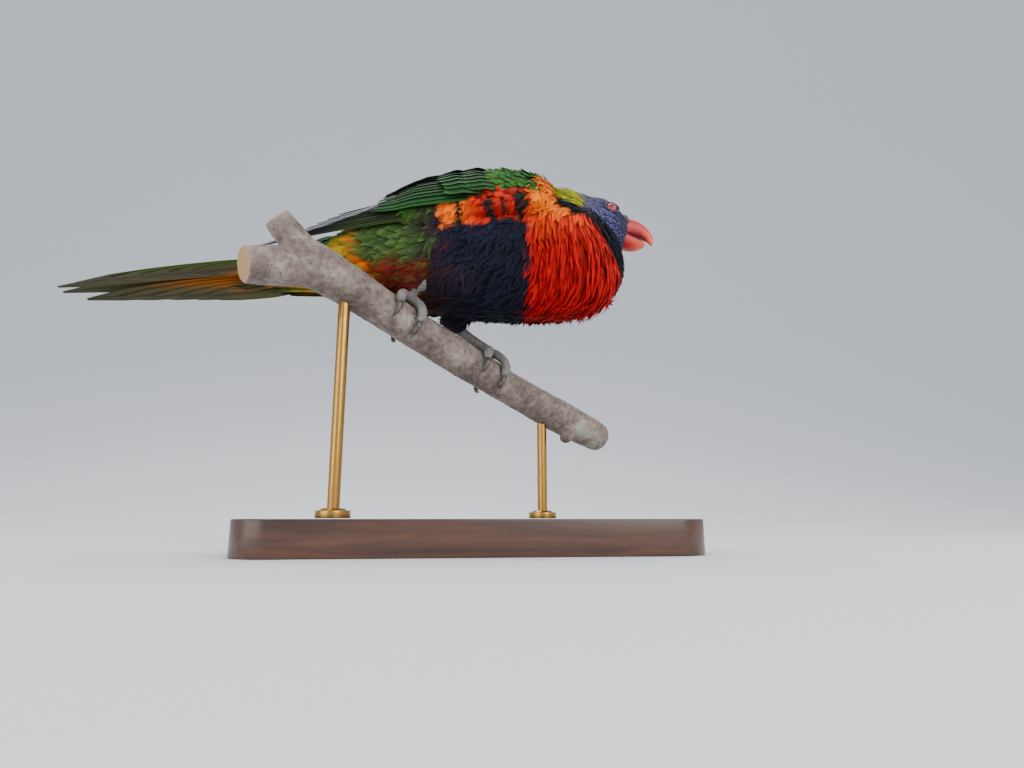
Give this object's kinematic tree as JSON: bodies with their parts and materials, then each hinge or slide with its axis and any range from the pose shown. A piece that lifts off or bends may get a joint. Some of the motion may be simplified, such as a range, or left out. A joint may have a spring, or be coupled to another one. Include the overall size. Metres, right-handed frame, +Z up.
{
  "type": "rainbow lorikeet model",
  "caption": "Life-size still model of a rainbow lorikeet gripping a short cut branch, held over a flat wooden base by two brass rods.",
  "frame": {"origin": "centre of the underside of the stand's base", "axes": "+Z up, +X the way the bird faces, +Y to the bird's left"},
  "size_m": [0.2746, 0.1169, 0.1797],
  "materials": {
    "head_feathers": "violet-blue small feathers with paler shafts",
    "neck_feathers": "lime green to yellow collar",
    "breast_feathers": "orange-red loose plumes, yellower at the sides",
    "body_feathers": "deep violet-blue belly and green back",
    "rump_feathers": "green above, yellow-orange and green below",
    "tail_feathers": "green above, olive and yellow below",
    "wing_feathers": "bright green with blackish inner webs",
    "thigh_feathers": "green barred with yellow",
    "foot_skin": "grey scaled skin",
    "claw": "dark horn",
    "eye": "red iris with a black pupil, wet",
    "cere": "dark bare skin",
    "bill": "coral red horn, satin",
    "tongue": "dull red, damp",
    "bark": "grey-brown bark with pale lichen",
    "dark_wood": "dark stained, satin lacquer",
    "brass": "brushed"
  },
  "bodies": {
    "root": {"head": "head_feathers", "neck": "neck_feathers", "breast": "breast_feathers", "torso": "body_feathers", "rump": "rump_feathers", "tail": "tail_feathers", "left_wing": "wing_feathers", "right_wing": "wing_feathers", "left_thigh": "thigh_feathers", "right_thigh": "thigh_feathers", "left_foot": "foot_skin", "right_foot": "foot_skin", "left_claw_inner_front": "claw", "left_claw_inner_rear": "claw", "left_claw_outer_front": "claw", "left_claw_outer_rear": "claw", "right_claw_inner_front": "claw", "right_claw_inner_rear": "claw", "right_claw_outer_front": "claw", "right_claw_outer_rear": "claw", "left_eye": "eye", "right_eye": "eye", "cere": "cere", "upper_bill": "bill", "lower_bill": "bill", "tongue": "tongue", "perch_branch": "bark", "stand_base": "dark_wood", "stand_rod_front": "brass", "stand_rod_rear": "brass"}
  },
  "joints": []
}
